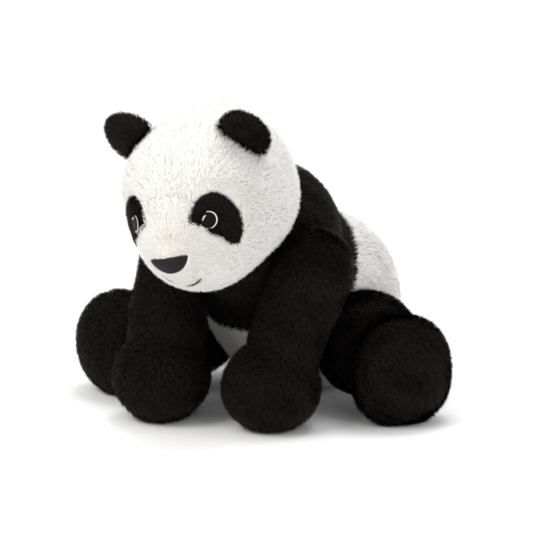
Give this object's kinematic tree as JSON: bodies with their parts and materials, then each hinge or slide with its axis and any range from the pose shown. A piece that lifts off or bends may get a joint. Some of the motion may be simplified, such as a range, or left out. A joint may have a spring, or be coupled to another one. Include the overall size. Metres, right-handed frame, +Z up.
{
  "type": "plush panda",
  "caption": "Sitting plush panda with white body and black limbs: a turning head, folding ears, swinging arms and splaying legs, stuffed with fibre.",
  "frame": {"origin": "middle of the seat, on the floor", "axes": "+Z up, the panda faces -Y and its left side is +X"},
  "size_m": [0.2873, 0.3026, 0.2463],
  "materials": {
    "white_plush": "matte",
    "black_plush": "matte",
    "fibre_filling": "matte",
    "embroidery_dark": "satin",
    "embroidery_light": "satin",
    "nose_cloth": "satin"
  },
  "bodies": {
    "torso": {"torso_filling": "fibre_filling", "chest_cover": "black_plush", "shoulder_cover_left": "black_plush", "shoulder_cover_right": "black_plush", "belly_cover": "white_plush", "back_cover_left": "white_plush", "back_cover_right": "white_plush", "seat_cover": "white_plush"},
    "head": {"head_filling": "fibre_filling", "muzzle_cover": "white_plush", "forehead_cover": "white_plush", "cheek_cover_left": "white_plush", "cheek_cover_right": "white_plush", "chin_cover": "white_plush", "head_back_left": "white_plush", "head_back_right": "white_plush", "nose": "nose_cloth", "eye_patch_left": "black_plush", "eye_patch_right": "black_plush", "iris_left": "embroidery_dark", "iris_right": "embroidery_dark", "eye_rim_left": "embroidery_light", "eye_rim_right": "embroidery_light", "eye_glint_left": "embroidery_light", "eye_glint_right": "embroidery_light", "mouth_stitch_left": "nose_cloth", "mouth_stitch_right": "nose_cloth"},
    "ear_left": {"ear_filling_left": "fibre_filling", "ear_front_left": "black_plush", "ear_back_left": "black_plush"},
    "ear_right": {"ear_filling_right": "fibre_filling", "ear_front_right": "black_plush", "ear_back_right": "black_plush"},
    "arm_left": {"arm_filling_left": "fibre_filling", "sleeve_inner_left": "black_plush", "sleeve_outer_left": "black_plush", "paw_cover_left": "black_plush", "paw_sole_left": "black_plush"},
    "arm_right": {"arm_filling_right": "fibre_filling", "sleeve_inner_right": "black_plush", "sleeve_outer_right": "black_plush", "paw_cover_right": "black_plush", "paw_sole_right": "black_plush"},
    "leg_left": {"leg_filling_left": "fibre_filling", "thigh_upper_left": "black_plush", "thigh_lower_left": "black_plush", "foot_cover_left": "black_plush", "foot_sole_left": "black_plush"},
    "leg_right": {"leg_filling_right": "fibre_filling", "thigh_upper_right": "black_plush", "thigh_lower_right": "black_plush", "foot_cover_right": "black_plush", "foot_sole_right": "black_plush"}
  },
  "joints": [
    {"name": "head_turn", "type": "hinge", "parent": "torso", "child": "head", "pos_m": [0, -0.1575, 0.1755], "axis": [0, 0, 1], "range_deg": [-25, 25], "stiffness_Nm_per_rad": 0.6},
    {"name": "ear_fold_left", "type": "hinge", "parent": "head", "child": "ear_left", "pos_m": [0.03435, -0.17699, 0.22477], "axis": [0.8387, 0.2302, -0.4936], "range_deg": [-15, 20], "stiffness_Nm_per_rad": 0.03},
    {"name": "ear_fold_right", "type": "hinge", "parent": "head", "child": "ear_right", "pos_m": [-0.04993, -0.17084, 0.21155], "axis": [0.6088, -0.3353, 0.719], "range_deg": [-15, 20], "stiffness_Nm_per_rad": 0.03},
    {"name": "arm_swing_left", "type": "hinge", "parent": "torso", "child": "arm_left", "pos_m": [0.058, -0.109, 0.118], "axis": [-1, 0, 0], "range_deg": [0, 25], "stiffness_Nm_per_rad": 0.5},
    {"name": "arm_swing_right", "type": "hinge", "parent": "torso", "child": "arm_right", "pos_m": [-0.054, -0.109, 0.116], "axis": [-1, 0, 0], "range_deg": [0, 25], "stiffness_Nm_per_rad": 0.5},
    {"name": "leg_splay_left", "type": "hinge", "parent": "torso", "child": "leg_left", "pos_m": [0.07, -0.044, 0.045], "axis": [0, 0, 1], "range_deg": [-12, 12], "stiffness_Nm_per_rad": 0.6},
    {"name": "leg_splay_right", "type": "hinge", "parent": "torso", "child": "leg_right", "pos_m": [-0.07, -0.044, 0.045], "axis": [0, 0, 1], "range_deg": [-12, 0], "stiffness_Nm_per_rad": 0.6}
  ]
}
